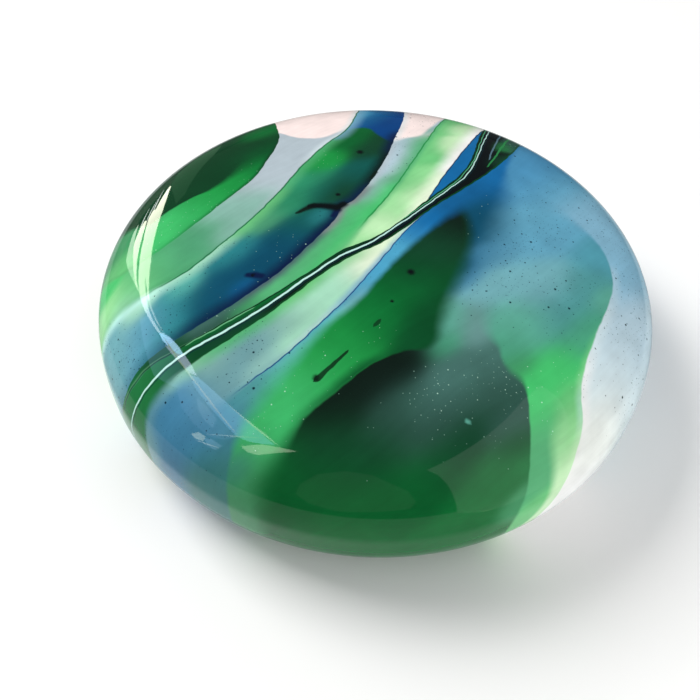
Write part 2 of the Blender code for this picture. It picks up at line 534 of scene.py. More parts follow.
# %% Place the dabs
POOLS = {
    "blob_shade": [
        ("fir", 225, 165, 12), ("emerald", 265, 132, 4), ("bottle", 257, 155, 5), ("fir", 190, 185, 9),
        ("fir", 135, 225, 9),
    ],
    "blob": [
        ("bottle", 268, 152, 4), ("emerald", 252, 166, 5), ("leaf", 228, 182, 6), ("leaf", 200, 208, 6),
        ("spring", 182, 220, 6), ("clover", 164, 231, 4), ("meadow", 128, 245, 6), ("apple", 118, 268, 4),
    ],
    "line_a": [
        ("dove", 295, 150, 7), ("dove", 275, 172, 7), ("sage", 240, 208, 6), ("sage", 224, 232, 3),
        ("reed", 204, 238, 4), ("reed", 184, 251, 6), ("fern", 158, 270, 7), ("apple", 120, 266, 3),
        ("apple", 135, 290, 5), ("clover", 108, 292, 3), ("mint", 122, 311, 4),
        ("pistachio", 106, 322, 5),
    ],
    "broad_band": [
        ("pine", 350, 142, 4), ("leaf", 325, 160, 4), ("viridian", 304, 186, 5),
        ("viridian", 290, 203, 4), ("reed", 262, 220, 4), ("teal", 320, 190, 4), ("forest", 340, 190, 5),
        ("teal", 362, 172, 5), ("forest", 374, 146, 5), ("teal", 302, 222, 5), ("lagoon", 320, 216, 2.6),
        ("petrol", 285, 240, 5), ("petrol", 250, 265, 6), ("cobalt", 243, 288, 2.5),
        ("lagoon", 233, 253, 4), ("petrol", 208, 298, 6), ("lagoon", 172, 308, 5), ("sea", 184, 286, 3),
        ("lagoon", 165, 332, 4), ("steel", 145, 334, 5), ("mint", 138, 308, 3), ("haze", 118, 355, 6),
    ],
    "line_b": [
        ("mist", 395, 148, 4), ("sage", 416, 143, 3), ("mist", 388, 166, 3), ("sage", 377, 190, 4),
        ("fern", 352, 214, 4), ("fern", 333, 241, 4), ("fern", 300, 268, 4), ("fern", 282, 279, 3),
        ("fern", 263, 294, 3), ("meadow", 245, 305, 3), ("moss", 215, 319, 4), ("bottle", 165, 350, 4),
        ("emerald", 128, 397, 4),
    ],
    "wedge": [
        ("apple", 447, 125, 4), ("apple", 428, 152, 4), ("apple", 406, 183, 4),
        ("pistachio", 421, 181, 4), ("honeydew", 452, 146, 3), ("honeydew", 462, 128, 3),
        ("pistachio", 388, 207, 5), ("honeydew", 418, 195, 4), ("honeydew", 375, 224, 4),
        ("pistachio", 350, 240, 5),
    ],
    "ribbon_start": [("sky", 484, 130, 2), ("marine", 470, 150, 6), ("marine", 440, 187, 5)],
    "ribbon_end": [
        ("ink", 486, 145, 3), ("ink", 490, 158, 3), ("ivy", 504, 147, 2), ("moss", 514, 147, 2.5),
        ("forest", 499, 160, 2), ("ink", 450, 192, 6), ("ink", 380, 240, 6), ("black_green", 300, 286, 5),
        ("forest", 220, 340, 6), ("bottle", 178, 368, 5), ("ivy", 148, 395, 6), ("ivy", 138, 425, 8),
    ],
    "line_c": [
        ("cream", 387, 246, 4), ("cream", 362, 262, 4), ("mint", 338, 278, 4), ("mint", 310, 304, 5),
        ("sage", 282, 322, 4), ("mint", 292, 341, 3), ("dew", 264, 363, 3), ("slate", 255, 342, 5),
        ("slate", 225, 370, 6), ("sage", 208, 364, 4), ("lake", 184, 400, 4), ("denim", 168, 428, 7),
        ("denim", 187, 447, 6), ("slate", 152, 446, 3),
    ],
    "light_blue": [
        ("marine", 494, 174, 6), ("cobalt", 472, 192, 5), ("cobalt", 452, 206, 4),
        ("marine", 432, 220, 4), ("azure", 416, 234, 3), ("sky", 398, 250, 4), ("sky", 372, 277, 5),
        ("haze", 348, 300, 4), ("surf", 330, 321, 4), ("sea", 312, 338, 4), ("sea", 290, 357, 5),
        ("tide", 250, 393, 5), ("denim", 212, 436, 6), ("spruce", 216, 472, 6), ("spruce", 208, 495, 7),
    ],
    "green_field": [
        ("black_green", 458, 222, 6), ("forest", 434, 246, 6), ("bottle", 410, 275, 6),
        ("bottle", 425, 316, 6), ("emerald", 385, 300, 6), ("emerald", 372, 318, 6),
        ("leaf", 345, 338, 6), ("leaf", 318, 356, 5), ("leaf", 338, 374, 5), ("spring", 298, 390, 7),
        ("spring", 272, 418, 7), ("spruce", 236, 470, 3), ("meadow", 244, 480, 6),
        ("emerald", 274, 486, 5), ("meadow", 236, 505, 5),
    ],
    "deep_field": [
        ("marine", 496, 172, 6), ("cobalt", 486, 190, 5), ("petrol", 476, 204, 5),
        ("petrol", 482, 232, 5), ("petrol", 466, 264, 3), ("denim", 484, 256, 4), ("denim", 470, 278, 3),
        ("haze", 484, 290, 4), ("ash", 477, 316, 4), ("ash", 477, 334, 3), ("celadon", 448, 322, 4),
        ("jade", 446, 344, 3), ("thyme", 453, 368, 4), ("thyme", 484, 364, 5),
        ("black_green", 412, 360, 5), ("black_green", 380, 378, 6), ("black_green", 335, 412, 6),
        ("moss", 400, 405, 5), ("thyme", 442, 388, 5), ("moss", 430, 422, 6), ("moss", 482, 388, 5),
        ("forest", 462, 446, 6), ("forest", 375, 450, 6), ("forest", 325, 446, 5), ("pine", 300, 478, 7),
        ("pine", 360, 495, 7), ("pine", 420, 490, 7), ("moss", 508, 425, 4), ("bottle", 512, 445, 3),
        ("ivy", 494, 474, 5), ("meadow", 521, 502, 3), ("emerald", 480, 505, 5), ("emerald", 340, 540, 7),
        ("emerald", 440, 540, 7),
    ],
    "strip": [
        ("lake", 520, 190, 6), ("steel", 520, 215, 6), ("steel", 550, 232, 7), ("steel", 520, 244, 6),
        ("haze", 510, 280, 6), ("haze", 545, 284, 6), ("fjord", 594, 256, 5), ("tide", 584, 284, 5),
        ("celadon", 604, 300, 3), ("tide", 562, 312, 6), ("celadon", 508, 320, 5),
        ("celadon", 530, 328, 5), ("jade", 585, 333, 5), ("jade", 510, 345, 5), ("meadow", 517, 366, 3),
        ("clover", 550, 376, 6), ("clover", 545, 402, 6), ("apple", 566, 397, 3), ("fern", 544, 440, 5),
        ("fern", 538, 475, 6), ("apple", 545, 500, 4),
    ],
    "bright_side": [
        ("steel", 540, 205, 8), ("steel", 588, 235, 6), ("tide", 606, 275, 6), ("jade", 600, 318, 6),
        ("clover", 582, 362, 5), ("apple", 564, 406, 5), ("pistachio", 567, 430, 4),
        ("pistachio", 561, 455, 4), ("honeydew", 570, 462, 4), ("honeydew", 550, 498, 5),
    ],
    "side": [
        ("lake", 518, 155, 8), ("lake", 540, 178, 8), ("steel", 560, 190, 8), ("powder", 592, 210, 8),
        ("powder", 622, 250, 8), ("powder", 630, 282, 8), ("mist", 642, 322, 8), ("mist", 620, 338, 8),
        ("mist", 645, 360, 8), ("frost", 610, 375, 8), ("frost", 635, 395, 8), ("pearl", 600, 425, 7),
        ("pearl", 590, 455, 7), ("milk", 565, 490, 7),
    ],
}
FLOW_ANGLE = math.radians(44)
FLOW_STRETCH = 1.7


def wash(dabs):
    """The colour at every mesh point, were the whole cake this one pool. Alpha is its strength,
    or how speckled it is."""
    spin = np.array([[math.cos(FLOW_ANGLE), -math.sin(FLOW_ANGLE)],
                     [math.sin(FLOW_ANGLE), math.cos(FLOW_ANGLE)]])
    squash = np.array([1 / FLOW_STRETCH, 1.0])
    exponents, colours = [], []
    for pigment, across, down, reach, *strength in dabs:
        offset = ((skin - on_the_skin(across, down)) @ spin) * squash / reach
        exponents.append((offset ** 2).sum(axis=1))
        alpha = strength[0] if strength else SPECKLED.get(pigment, 0.0)
        colours.append(linear(PIGMENTS[pigment], alpha))
    exponents = np.array(exponents)
    weights = np.exp(exponents.min(axis=0) - exponents)
    weights /= weights.sum(axis=0)
    return weights.T @ np.array(colours)


washes = {"pool_" + name: wash(dabs) for name, dabs in POOLS.items()}
print("pools mixed:", ", ".join(POOLS))

# %% [markdown]
# ## Hems
# Along many borders the glaze has a hem, a few millimetres wide, of the colour that came out of the cup
# with the border; the grey hem beyond broad_band is a painted sheen instead. A hem is a wash like a pool,
# with a width, and its dabs' last number is how strongly it shows there. It lies inside the border, or
# beyond it. The second list holds the dabs of three pools that change colour at the far side, where the
# top turns down.

# %% Place the hems
HEMS = {
    ("blob", "inside", 1.8): [
        ("fir", 268, 155, 8, 0.9), ("bottle", 235, 192, 8, 0.7), ("bottle", 195, 222, 8, 0.5),
        ("bottle", 150, 255, 8, 0.2),
    ],
    ("line_a", "inside", 3.0): [
        ("frost", 320, 143, 6, 0.7), ("dove", 275, 190, 8, 0.6), ("sage", 235, 228, 8, 0.3),
        ("meadow", 180, 270, 9, 0.5), ("meadow", 140, 300, 9, 0.3),
    ],
    ("line_a", "beyond", 5.0): [
        ("powder", 352, 125, 3, 0.7), ("fern", 305, 170, 5, 0.7), ("apple", 262, 215, 6, 0.8),
        ("mint", 213, 260, 5, 0.9), ("mint", 185, 277, 5, 0.8), ("foam", 150, 303, 5, 0.9),
        ("foam", 110, 338, 6, 1),
    ],
    ("broad_band", "inside", 5.0): [
        ("royal", 402, 122, 5, 1), ("navy", 392, 142, 4, 0.9), ("ink", 378, 165, 5, 0.9),
        ("navy", 350, 200, 4, 0.9), ("navy", 318, 232, 6, 1), ("navy", 270, 275, 6, 1),
        ("navy", 220, 308, 6, 0.9), ("navy", 180, 335, 6, 0.7), ("petrol", 140, 362, 5, 0.4),
    ],
    # The grey strip of this hem is a painted sheen.
    ("broad_band", "beyond", 3.2): [
        ("frost", 408, 125, 4, 0.6), ("dove", 388, 162, 4, 0.8), ("taupe", 350, 212, 4, 1),
        ("lead", 300, 257, 4, 0.9), ("lead", 256, 291, 4, 1), ("thyme", 215, 317, 5, 0.6),
        ("moss", 160, 352, 4, 0.3),
    ],
    ("line_b", "inside", 7.0): [
        ("blush", 424, 128, 4, 0), ("fern", 426, 143, 4, 0.9), ("fern", 405, 168, 4, 0.9),
        ("clover", 380, 200, 4, 0.9), ("clover", 352, 230, 4, 0.7),
    ],
    ("line_b", "beyond", 2.2): [
        ("fern", 440, 128, 4, 0.7), ("fern", 410, 170, 4, 0.8), ("fern", 385, 203, 4, 0.5),
    ],
    ("wedge", "inside", 6.0): [
        ("milk", 474, 133, 4, 1), ("milk", 455, 158, 4, 1), ("cream", 432, 188, 4, 1),
        ("cream", 413, 210, 4, 1),
    ],
    ("ribbon_start", "inside", 3.2): [
        ("cobalt", 465, 160, 5, 0), ("cobalt", 438, 189, 4, 0), ("honeydew", 400, 218, 4, 0.7),
        ("mint", 350, 241, 4, 1), ("fern", 305, 268, 4, 0.8), ("fern", 260, 300, 5, 0.6),
        ("thyme", 215, 325, 5, 0.5), ("azure", 155, 357, 5, 0.3),
    ],
    ("ribbon_start", "beyond", 3.0): [
        ("ink", 470, 160, 6, 0), ("ink", 400, 222, 5, 0), ("bottle", 330, 261, 5, 0.6),
        ("emerald", 260, 304, 6, 0.9), ("emerald", 200, 338, 6, 0.8), ("ivy", 150, 370, 6, 0.6),
    ],
    ("ribbon_end", "beyond", 5.0): [
        ("cobalt", 480, 180, 6, 0), ("honeydew", 390, 240, 4, 0.4), ("apple", 345, 265, 4, 0.7),
        ("apple", 300, 297, 5, 1), ("fern", 262, 322, 5, 1), ("fern", 210, 357, 5, 1),
        ("mint", 184, 380, 4, 0.7), ("sage", 158, 415, 5, 0.3),
    ],
    ("line_c", "inside", 2.4): [
        ("powder", 402, 236, 3, 0.7), ("powder", 383, 256, 4, 0.9), ("powder", 350, 292, 5, 0.9),
        ("mist", 310, 328, 5, 0.5), ("slate", 260, 370, 5, 0.4), ("steel", 215, 405, 5, 0),
    ],
    ("line_c", "beyond", 2.5): [
        ("azure", 425, 222, 4, 0.3), ("sky", 380, 265, 5, 0.4), ("azure", 330, 318, 5, 0.4),
        ("steel", 280, 362, 5, 0.3), ("steel", 230, 400, 5, 0),
    ],
    ("green_field", "inside", 3.4): [
        ("bottle", 400, 347, 5, 0.3), ("bottle", 366, 366, 5, 0.95), ("bottle", 325, 398, 5, 0.8),
        ("emerald", 300, 420, 5, 0.5), ("emerald", 275, 460, 6, 0),
    ],
    ("bright_side", "inside", 3.0): [
        ("jade", 608, 285, 5, 0), ("celadon", 600, 318, 5, 0.5), ("apple", 590, 345, 5, 0.7),
        ("pistachio", 580, 372, 5, 0.8), ("mint", 579, 408, 6, 1), ("honeydew", 574, 450, 6, 0.5),
    ],
    ("bright_side", "beyond", 4.5): [
        ("steel", 560, 215, 6, 0), ("frost", 605, 250, 5, 0), ("frost", 612, 290, 5, 0.3),
        ("frost", 598, 332, 6, 0.6), ("milk", 585, 385, 6, 0.7), ("milk", 570, 470, 6, 0.2),
    ],
}
FAR_SIDE = {
    "line_a": [("blush", 320, 120, 9)],
    "broad_band": [("sky", 357, 117, 3), ("cobalt", 372, 118, 4), ("royal", 396, 120, 5)],
    "line_b": [("blush", 425, 120, 6), ("blush", 405, 118, 5)],
}
hem_widths = {(border, side): width for border, side, width in HEMS}
for border, dabs in FAR_SIDE.items():
    washes["far_" + border] = wash(dabs)
for (border, side, width), dabs in HEMS.items():
    washes["hem_" + border + "_" + side] = wash(dabs)
print("hems mixed:", len(HEMS))

# %% [markdown]
# ## Blots
# A bubble that opened, or a drop that fell late, left a small blot in the glaze, and the dark tail beside
# the ink crescent is a painted shadow drawn the same way. A blot is a short path with a half-width in
# millimetres at each point, and all blots of one pigment share one value on the mesh: the distance from
# the nearest one, in half-widths.

# %% Place the blots
BLOTS = {
    "black_green": [
        # The first black_green path, the dark tail left of the ink crescent, is painted shadow.
        [(297, 213, 0.7), (305, 209, 1.2), (314, 205.5, 1.6)], [(376, 172, 0.8), (371, 178, 0.6)],
    ],
    "celadon": [[(467, 421, 0.8), (470, 423, 0.6)]],
    "navy": [[(247, 275, 1.0), (255, 275, 1.6), (262, 276, 1.2)], [(333, 216, 1.0), (338, 210, 1.4)]],
    "ink": [
        [(360, 152, 1.4)], [(411, 272, 1.4)], [(316, 378, 1.2)], [(392, 301, 0.7)],
        [(310, 206, 1.1), (320, 205.5, 1.7), (330, 206.5, 2.1), (337, 207.5, 2.0), (344, 204, 1.6)],
        [(338, 194.5, 1.0)], [(253, 275, 0.8)],
    ],
}
FAR_FROM_BLOTS = 9.0
blots = {}
for pigment, paths in BLOTS.items():
    nearest = np.full(len(skin), FAR_FROM_BLOTS)
    for path in paths:
        rows = np.array([np.append(on_the_skin(*point[:2]), point[2]) for point in path])
        for start, end in zip(rows, rows[1:] if len(rows) > 1 else rows):
            step = end[:2] - start[:2]
            share = np.clip((skin - start[:2]) @ step / max(step @ step, TINY), 0, 1)
            place = start + share[:, None] * (end - start)
            nearest = np.minimum(nearest, np.hypot(*(skin - place[:, :2]).T) / place[:, 2])
    blots["blots_" + pigment] = nearest
print("blots placed:", sum(len(paths) for paths in BLOTS.values()))

# %% [markdown]
# ## The mesh's own data
# The distances and colours are stored on the mesh as named attributes, and the map itself in
# millimetres, for noise that should follow the skin. The baking map is the same flat map, shrunk
# to a unit square, with the plain base in a corner of its own.

# %% Store the attributes
def store(name, kind, values):
    """Give the mesh a named value at every point."""
    field = {"FLOAT": "value", "FLOAT_VECTOR": "vector", "FLOAT_COLOR": "color"}[kind]
    mesh.attributes.new(name, kind, "POINT").data.foreach_set(field, np.ravel(values))


blank = np.zeros(len(skin))
for name, (apart, third, along) in measures.items():
    store("from_" + name, "FLOAT_VECTOR", np.column_stack([apart, third, blank]))
for name, values in washes.items():
    store(name, "FLOAT_COLOR", values)
for name, values in blots.items():
    store(name, "FLOAT", values)
store("skin", "FLOAT_VECTOR", np.column_stack([skin, blank]))
along_flow = skin @ np.array([math.cos(FLOW_ANGLE), math.sin(FLOW_ANGLE)])
across_flow = measures["ribbon_end"][0]
store("flow", "FLOAT_VECTOR", np.column_stack([along_flow, across_flow, blank]))

BAKE_MARGIN = 0.01
BASE_CORNER = np.array([0.075, 0.075])
BASE_SHARE = 0.065
LEVEL_WITHIN = 1e-4
loops = np.zeros(len(mesh.loops), dtype=int)
mesh.loops.foreach_get("vertex_index", loops)
flat_face = np.array([abs(face.normal.z + 1) < LEVEL_WITHIN for face in mesh.polygons])
sizes = np.array([face.loop_total for face in mesh.polygons])
on_base = np.repeat(flat_face, sizes)
plain = corners.reshape(-1, 3)[loops, :2] / RADIUS
spread = 0.5 + (0.5 - BAKE_MARGIN) * skin[loops] / SKIN_REACH
bake_map = np.where(on_base[:, None], BASE_CORNER + BASE_SHARE * plain, spread)
mesh.uv_layers.new(name="OFBake").data.foreach_set("uv", bake_map.ravel())
print("attributes:", len(mesh.attributes))

# %% [markdown]
# ## Mirror glaze
# Mirror glaze is sugar syrup, white chocolate and gelatine, coloured and poured at body heat. It
# sets to a film with no grain at all, so it is as glossy as wet glass, with an index of
# refraction near 1.45. The bands are laid one over another, from the side that faces away from
# the light to the blob of green: each border hides what lies beyond it.

# %% A helper that adds a node
TIMES = {"operation": "MULTIPLY"}
PLUS = {"operation": "ADD"}
MINUS = {"operation": "SUBTRACT"}
OVER = {"operation": "DIVIDE"}
BELOW = {"operation": "LESS_THAN"}
UNSIGNED = {"operation": "ABSOLUTE"}
LENGTH = {"operation": "LENGTH"}
SMOOTH = {"interpolation_type": "SMOOTHSTEP"}
RGBA = {"data_type": "RGBA"}


def add(tree, kind, settings=None, **links):
    """Add a node. Settings are its own properties, and links are its inputs by name or number,
    each a value, another node's output, or a node, which stands for its first live output."""
    node = tree.nodes.new("ShaderNode" + kind)
    for key, value in (settings or {}).items():
        setattr(node, key, value)
    for key, value in links.items():
        by_number = key.startswith("in") and key[2:].isdigit()
        socket = node.inputs[int(key[2:]) if by_number else key.replace("_", " ")]
        if isinstance(value, bpy.types.Node):
            value = next(output for output in value.outputs if output.enabled)
        if isinstance(value, bpy.types.NodeSocket):
            tree.links.new(value, socket)
        else:
            socket.default_value = value
    return node


def new_material(name):
    """A material with an empty node tree."""
    material = bpy.data.materials.new(name)
    material.use_nodes = True
    material.node_tree.nodes.clear()
    return material, material.node_tree


print("a link may be a number, a colour, an output or a whole node")

# %% [markdown]
# Where two borders cross, the band that was poured later lies on top. The first list says which
# borders cut a pool off besides its own. The second gives each drawn line its place beside its
# border, its half-width, its colour and its strength. A fine line brings its own width, and a
# border's line is lost where the two colours run into each other.

# %% Choose how the layers lie
CUT_BY = {
    "blob_shade": ["blob"],
    "broad_band": ["ribbon_start"], "line_b": ["ribbon_start"], "wedge": ["ribbon_start"],
    "line_c": ["bright_side"], "light_blue": ["bright_side"], "green_field": ["bright_side"],
    "deep_field": ["bright_side"], "strip": ["bright_side"],
}
LINES = [
    ("long_streak", 0.0, 1.0, "#0c2016", 0.9),
    ("short_streak", 0.0, 1.0, "#0c2a1a", 0.8),
    ("line_a", 0.0, 0.28, "#176a40", 0.9),
    ("line_b", -0.1, 0.26, "#1f8a44", 0.9),
    ("wedge", 0.1, 0.2, "#0d2350", 0.9),
    ("line_c", 0.1, 0.2, "#123f7c", 0.9),
    ("ribbon_start", 0.2, 0.25, "#06381e", 1.0),
    ("edge_line", 0.0, 1.0, "#7fd09a", 0.7),
    ("ribbon_end", -0.3, 0.3, "#0a4a22", 0.7),
    ("twin_line", 0.0, 1.0, "#5fbf8a", 0.9),
    ("smoke_line", 0.0, 1.0, "#5f8090", 0.8),
    ("moss_line", 0.0, 1.0, "#2f8a4c", 0.9),
    # The dark line just beside the white line is a painted shadow of it.
    ("white_line", 0.75, 1.0, "#0a2a34", 0.6),
    ("white_line", 0.0, 1.0, "#c4f0e8", 1.0),
]
HIDDEN_PAST_RIBBON = ("line_b", "wedge")
HIDDEN_BEFORE_RIBBON_END = ("line_c",)
LINE_EDGE_MM = 0.14
LINE_LOST_BY_SOFTNESS_MM = (0.3, 2.0)
RAGGED_SIZE_MM = 4.0
RAGGED_NOISE = (0.25, 0.75)
RAGGED_REACH_MM = 0.18
BLOT_EDGE = (0.3, 1.3)
GLAZE_INDEX = 1.45
GLAZE_ROUGHNESS = 0.04
MOUSSE_ROUGHNESS = 0.7
MOUSSE = ("#efe6d0", "#dccdae")
MOUSSE_PORE_MM = 1.4
MOUSSE_EDGE_MM = (0.2, 0.6)
print(len(LINES), "lines lie over", len(POOLS), "pools")

# %% [markdown]
# Seen close to, the glaze is not even. The pour left faint streaks along the flow, and it holds
# two kinds of grain: dark specks of cocoa butter, under a millimetre wide and thickest in the
# blues and greys, and still finer pale bubbles. A Voronoi pattern puts one speck at most in each
# of its cells, and the cell's own random colour decides whether it is there and how large. Each
# kind of grain has a colour, the width of a cell and its own largest radius in millimetres, the
# share of cells that hold one, less than nothing for bubbles, and a strength.

# %% Add the streaks and the grain
STREAK_LENGTH_MM = 26.0
STREAK_WIDTH_MM = 1.6
STREAK_LEVELS = (0.95, 1.05)
CLOUD_MM = 11.0
CLOUD_LEVELS = (0.88, 1.12)
NOISE_SPAN = (0.2, 0.8)
GRAINS = [
    ("#0b2430", 6.0, 0.42, 0.50, 0.95),
    ("#123440", 2.3, 0.24, 0.60, 0.80),
    ("#1a4450", 1.2, 0.16, 0.55, 0.55),
    ("#c4f0dc", 3.6, 0.21, -0.50, 0.70),
    ("#a8d8c4", 1.5, 0.16, -0.50, 0.50),
]
GRAIN_CLUSTER_MM = 14.0
CLUSTER_SPAN = (0.38, 0.66)
CLUSTER_LEVELS = (0.25, 1.7)
SMALLEST_GRAIN = 0.35
GRAIN_EDGE = (0.5, 1.3)


def mottled(tree, colour, skin_at, specks):
    """A glaze colour with streaks along the flow and with specks where specks is high."""
    flow = add(tree, "Attribute", {"attribute_name": "flow"}).outputs["Vector"]
    drawn = add(tree, "Mapping", Vector=flow, Scale=(1 / STREAK_LENGTH_MM, 1 / STREAK_WIDTH_MM, 1))
    streaks = add(tree, "TexNoise", Vector=drawn, Scale=1.0, Detail=3.0)
    clouds = add(tree, "TexNoise", Vector=skin_at, Scale=1 / CLOUD_MM, Detail=3.0)
    for noise, (least, most) in ((streaks, STREAK_LEVELS), (clouds, CLOUD_LEVELS)):
        level = add(tree, "MapRange", Value=noise, in1=NOISE_SPAN[0], in2=NOISE_SPAN[1],
                    in3=least, in4=most)
        colour = add(tree, "VectorMath", TIMES, in0=colour, in1=level)
    crowd = add(tree, "TexNoise", Vector=skin_at, Scale=1 / GRAIN_CLUSTER_MM, Detail=2.0)
    crowd = add(tree, "MapRange", Value=crowd, in1=CLUSTER_SPAN[0], in2=CLUSTER_SPAN[1],
                in3=CLUSTER_LEVELS[0], in4=CLUSTER_LEVELS[1])
    specks = add(tree, "Math", TIMES, in0=specks, in1=crowd)
    for hex_colour, cell, radius, share, strength in GRAINS:
        cells = add(tree, "TexVoronoi", {"voronoi_dimensions": "2D"}, Vector=skin_at,
                    Scale=1 / cell, Randomness=1.0)
        chance = add(tree, "SeparateColor", Color=cells.outputs["Color"])
        wanted = add(tree, "Math", TIMES, in0=specks, in1=share)
        there = add(tree, "Math", BELOW, in0=chance.outputs[0], in1=wanted)
        size = add(tree, "MapRange", Value=chance.outputs[1], in3=SMALLEST_GRAIN * radius / cell,
                   in4=radius / cell)
        inside = add(tree, "Math", OVER, in0=cells, in1=size)
        dot = add(tree, "MapRange", SMOOTH, Value=inside, in1=GRAIN_EDGE[0], in2=GRAIN_EDGE[1],
                  in3=strength, in4=0.0)
        shown = add(tree, "Math", TIMES, in0=dot, in1=there)
        colour = add(tree, "Mix", RGBA, in0=shown, in6=colour, in7=linear(hex_colour))
    return colour


print(len(GRAINS), "sizes of grain, the widest", 2 * GRAINS[0][2], "mm")

# %% [markdown]
# The glaze is mixed from the side that faces away from the light towards the blob. Each border's
# signed distance gets a slight waver, because no edge of set glaze is quite even, and turns into
# a mask: 1 on the border's near side and 0 beyond it. Below the foot's edge the mousse is bare.

# %% Mix the glaze
def glaze_material():
    """The poured glaze, wet and glossy, with every band of colour."""
    material, tree = new_material("mirror_glaze")
    skin_at = add(tree, "Attribute", {"attribute_name": "skin"}).outputs["Vector"]
    ragged = add(tree, "TexNoise", Vector=skin_at, Scale=1 / RAGGED_SIZE_MM, Detail=1.0)
    waver = add(tree, "MapRange", Value=ragged, in1=RAGGED_NOISE[0], in2=RAGGED_NOISE[1],
                in3=-RAGGED_REACH_MM, in4=RAGGED_REACH_MM)
    read, masks, names = {}, {}, list(POOLS)

    def distance(name):
        """The wavering signed distance from a border in mm, and the border's third number."""
        if name not in read:
            plain = add(tree, "Attribute", {"attribute_name": "from_" + name}).outputs["Vector"]
            parts = add(tree, "SeparateXYZ", Vector=plain)
            read[name] = add(tree, "Math", PLUS, in0=parts.outputs[0], in1=waver), parts.outputs[1]
        return read[name]

    def before(name):
        """1 on the near side of a border, towards the blob, and 0 beyond it."""
        if name not in masks:
            apart, softness = distance(name)
            share = add(tree, "Math", OVER, in0=apart, in1=softness)
            masks[name] = add(tree, "MapRange", SMOOTH, Value=share, in1=-1.0, in2=1.0,
                              in3=1.0, in4=0.0)
        return masks[name]

    def pool_mask(name):
        """Where a pool lies: before its border, and before the borders that cut it."""
        share = before(name)
        for other in CUT_BY.get(name, ()):
            share = add(tree, "Math", TIMES, in0=share, in1=before(other))
        return share

    def with_hem(colour, name, side):
        """The colour with the border's hem on it, which the pool on that side holds."""
        if (name, side) not in hem_widths:
            return colour
        hem = add(tree, "Attribute", {"attribute_name": "hem_" + name + "_" + side})
        apart = add(tree, "Math", UNSIGNED, in0=distance(name)[0])
        near = add(tree, "MapRange", SMOOTH, Value=apart, in1=0.0, in2=hem_widths[name, side],
                   in3=1.0, in4=0.0)
        share = add(tree, "Math", TIMES, in0=near, in1=hem.outputs["Alpha"])
        holder = name if side == "inside" else names[names.index(name) + 1]
        if holder in BORDERS:
            share = add(tree, "Math", TIMES, in0=share, in1=pool_mask(holder))
        return add(tree, "Mix", RGBA, in0=share, in6=colour, in7=hem.outputs["Color"])

    pool = add(tree, "Attribute", {"attribute_name": "pool_" + names[-1]})
    colour, specks = pool.outputs["Color"], pool.outputs["Alpha"]
    for name in reversed(names[:-1]):
        pool = add(tree, "Attribute", {"attribute_name": "pool_" + name})
        colour = with_hem(colour, name, "beyond")
        share = pool_mask(name)
        colour = add(tree, "Mix", RGBA, in0=share, in6=colour, in7=pool.outputs["Color"])
        if name in FAR_SIDE:
            far = add(tree, "Attribute", {"attribute_name": "far_" + name})
            past = add(tree, "Math", MINUS, in0=1.0, in1=before("far_rim"))
            past = add(tree, "Math", TIMES, in0=past, in1=share)
            colour = add(tree, "Mix", RGBA, in0=past, in6=colour, in7=far.outputs["Color"])
        specks = add(tree, "Mix", in0=share, in2=specks, in3=pool.outputs["Alpha"])
        colour = with_hem(colour, name, "inside")
    colour = mottled(tree, colour, skin_at, specks)

    for pigment in BLOTS:
        apart = add(tree, "Attribute", {"attribute_name": "blots_" + pigment}).outputs["Fac"]
        share = add(tree, "MapRange", SMOOTH, Value=apart, in1=BLOT_EDGE[0], in2=BLOT_EDGE[1],
                    in3=1.0, in4=0.0)
        colour = add(tree, "Mix", RGBA, in0=share, in6=colour, in7=linear(PIGMENTS[pigment]))

    for name, offset, width, hex_colour, strength in LINES:
        apart, third = distance(name)
        beside = add(tree, "Math", MINUS, in0=apart, in1=offset)
        beside = add(tree, "Math", UNSIGNED, in0=beside)
        past = add(tree, "Math", MINUS, in0=beside, in1=third if name in FINE_LINES else width)
        share = add(tree, "MapRange", SMOOTH, Value=past, in1=-LINE_EDGE_MM, in2=LINE_EDGE_MM,
                    in3=strength, in4=0.0)
        if name in BORDERS:
            crisp = add(tree, "MapRange", SMOOTH, Value=third, in1=LINE_LOST_BY_SOFTNESS_MM[0],
                        in2=LINE_LOST_BY_SOFTNESS_MM[1], in3=1.0, in4=0.0)
            share = add(tree, "Math", TIMES, in0=share, in1=crisp)
        if name in HIDDEN_PAST_RIBBON:
            share = add(tree, "Math", TIMES, in0=share, in1=before("ribbon_start"))
        if name in HIDDEN_BEFORE_RIBBON_END:
            clear = add(tree, "Math", MINUS, in0=1.0, in1=before("ribbon_end"))
            share = add(tree, "Math", TIMES, in0=share, in1=clear)
        colour = add(tree, "Mix", RGBA, in0=share, in6=colour, in7=linear(hex_colour))

    length = add(tree, "VectorMath", LENGTH, in0=skin_at)
    under = add(tree, "Math", MINUS, in0=length, in1=SKIN_REACH)
    under = add(tree, "Math", PLUS, in0=under, in1=waver)
    bare = add(tree, "MapRange", SMOOTH, Value=under, in1=MOUSSE_EDGE_MM[0], in2=MOUSSE_EDGE_MM[1])
    pores = add(tree, "TexNoise", Vector=skin_at, Scale=1 / MOUSSE_PORE_MM, Detail=4.0)
    mousse = add(tree, "Mix", RGBA, in0=pores, in6=linear(MOUSSE[0]), in7=linear(MOUSSE[1]))
    colour = add(tree, "Mix", RGBA, in0=bare, in6=colour, in7=mousse)
    roughness = add(tree, "MapRange", Value=bare, in3=GLAZE_ROUGHNESS, in4=MOUSSE_ROUGHNESS)
    shader = add(tree, "BsdfPrincipled", Base_Color=colour, Roughness=roughness, IOR=GLAZE_INDEX)
    add(tree, "OutputMaterial", Surface=shader)
    return material


mesh.materials.append(glaze_material())
mesh.shade_smooth()
cake = bpy.data.objects.new("mirror_glaze", mesh)
bpy.context.scene.collection.objects.link(cake)
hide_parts(NODE)
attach(cake, "root")
print("the glaze holds", len(mesh.materials[0].node_tree.nodes), "nodes")

# %% [markdown]
# ## The floor
# The cake was seen on something near white, so the floor is a plain pale sheet. In the glaze,
# only the floor close by is bright: further out it is darker for gloss rays alone, as the room
# was, or its mirror image would hide the colours on the side.

